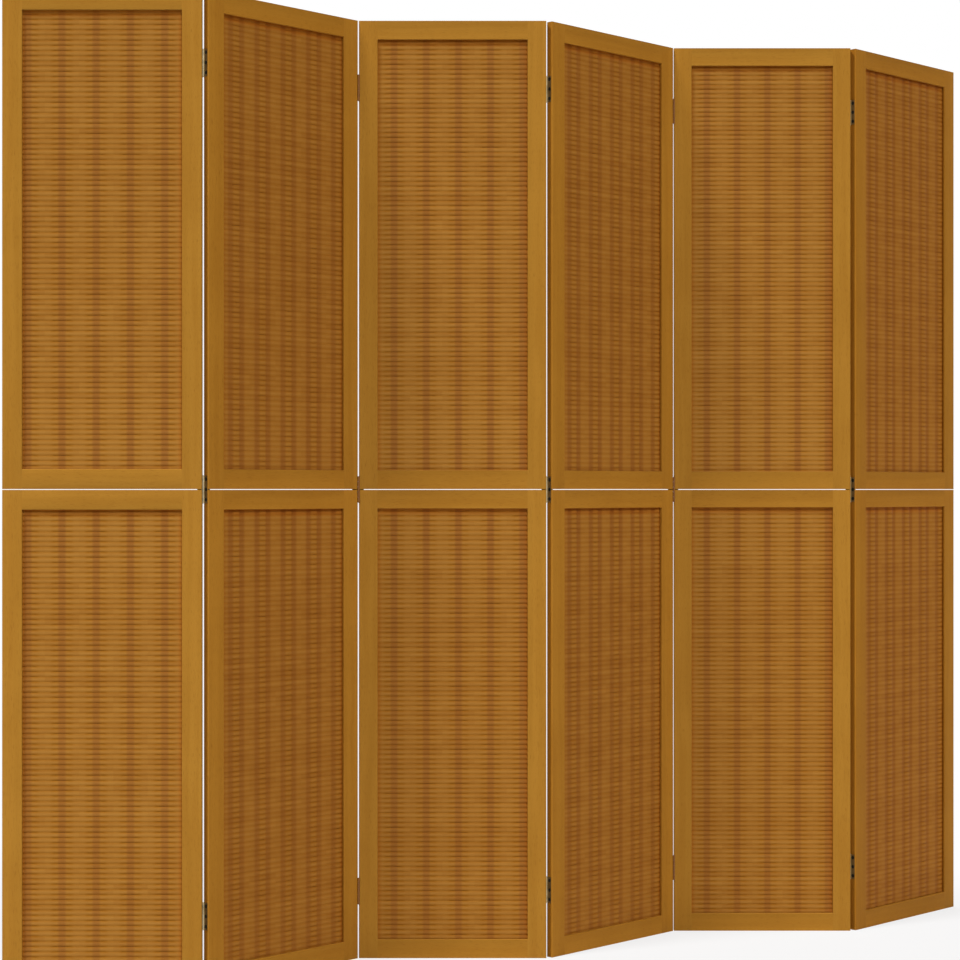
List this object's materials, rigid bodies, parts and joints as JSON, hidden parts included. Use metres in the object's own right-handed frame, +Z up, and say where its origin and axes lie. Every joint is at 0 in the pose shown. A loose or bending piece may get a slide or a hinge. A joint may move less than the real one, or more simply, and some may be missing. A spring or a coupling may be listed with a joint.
{
  "type": "wooden folding screen",
  "caption": "Free-standing zigzag folding screen: hinged wooden panels, each with an upper and a lower frame filled with horizontally woven strips.",
  "frame": {"origin": "middle of the footprint's bounding box, on the floor, with the screen standing in its pictured zigzag", "axes": "+X along the run of the screen from panel 1 to panel 6, +Y from the pictured front to the back, +Z up"},
  "size_m": [2.0358, 0.1488, 1.8],
  "materials": {
    "stile_wood": "honey-brown stain under satin varnish",
    "rail_wood": "honey-brown stain under satin varnish",
    "weave_strip": "woven flat strips, stained and varnished",
    "stake_cane": "plain slat, darker stain",
    "hinge_plate": "pale brassed steel",
    "hinge_pin": "pale brassed steel",
    "hinge_screw": "blackened"
  },
  "bodies": {
    "panel_1": {"panel_1_upper_stiles": "stile_wood", "panel_1_lower_stiles": "stile_wood", "panel_1_upper_rails": "rail_wood", "panel_1_lower_rails": "rail_wood", "panel_1_upper_weave": "weave_strip", "panel_1_lower_weave": "weave_strip", "panel_1_weave_stakes": "stake_cane", "panel_1_hinge_plates": "hinge_plate", "panel_1_hinge_screws": "hinge_screw", "panel_1_hinge_pins": "hinge_pin"},
    "panel_2": {"panel_2_upper_stiles": "stile_wood", "panel_2_lower_stiles": "stile_wood", "panel_2_upper_rails": "rail_wood", "panel_2_lower_rails": "rail_wood", "panel_2_upper_weave": "weave_strip", "panel_2_lower_weave": "weave_strip", "panel_2_weave_stakes": "stake_cane", "panel_2_hinge_plates": "hinge_plate", "panel_2_hinge_screws": "hinge_screw", "panel_2_hinge_pins": "hinge_pin"},
    "panel_3": {"panel_3_upper_stiles": "stile_wood", "panel_3_lower_stiles": "stile_wood", "panel_3_upper_rails": "rail_wood", "panel_3_lower_rails": "rail_wood", "panel_3_upper_weave": "weave_strip", "panel_3_lower_weave": "weave_strip", "panel_3_weave_stakes": "stake_cane", "panel_3_hinge_plates": "hinge_plate", "panel_3_hinge_screws": "hinge_screw", "panel_3_hinge_pins": "hinge_pin"},
    "panel_4": {"panel_4_upper_stiles": "stile_wood", "panel_4_lower_stiles": "stile_wood", "panel_4_upper_rails": "rail_wood", "panel_4_lower_rails": "rail_wood", "panel_4_upper_weave": "weave_strip", "panel_4_lower_weave": "weave_strip", "panel_4_weave_stakes": "stake_cane", "panel_4_hinge_plates": "hinge_plate", "panel_4_hinge_screws": "hinge_screw", "panel_4_hinge_pins": "hinge_pin"},
    "panel_5": {"panel_5_upper_stiles": "stile_wood", "panel_5_lower_stiles": "stile_wood", "panel_5_upper_rails": "rail_wood", "panel_5_lower_rails": "rail_wood", "panel_5_upper_weave": "weave_strip", "panel_5_lower_weave": "weave_strip", "panel_5_weave_stakes": "stake_cane", "panel_5_hinge_plates": "hinge_plate", "panel_5_hinge_screws": "hinge_screw", "panel_5_hinge_pins": "hinge_pin"},
    "panel_6": {"panel_6_upper_stiles": "stile_wood", "panel_6_lower_stiles": "stile_wood", "panel_6_upper_rails": "rail_wood", "panel_6_lower_rails": "rail_wood", "panel_6_upper_weave": "weave_strip", "panel_6_lower_weave": "weave_strip", "panel_6_weave_stakes": "stake_cane", "panel_6_hinge_plates": "hinge_plate", "panel_6_hinge_screws": "hinge_screw"}
  },
  "joints": [
    {"name": "fold_2_3", "type": "hinge", "parent": "panel_3", "child": "panel_2", "pos_m": [-0.3397, 0.06129, 0.9], "axis": [0, 0, 1], "range_deg": [-44.7, 135.3]},
    {"name": "fold_1_2", "type": "hinge", "parent": "panel_2", "child": "panel_1", "pos_m": [-0.67941, -0.06129, 0.9], "axis": [0, 0, -1], "range_deg": [-44.7, 135.3]},
    {"name": "fold_3_4", "type": "hinge", "parent": "panel_3", "child": "panel_4", "pos_m": [0, -0.06129, 0.9], "axis": [0, 0, 1], "range_deg": [-44.7, 135.3]},
    {"name": "fold_4_5", "type": "hinge", "parent": "panel_4", "child": "panel_5", "pos_m": [0.3397, 0.06129, 0.9], "axis": [0, 0, -1], "range_deg": [-44.7, 135.3]},
    {"name": "fold_5_6", "type": "hinge", "parent": "panel_5", "child": "panel_6", "pos_m": [0.67941, -0.06129, 0.9], "axis": [0, 0, 1], "range_deg": [-44.7, 135.3]}
  ]
}
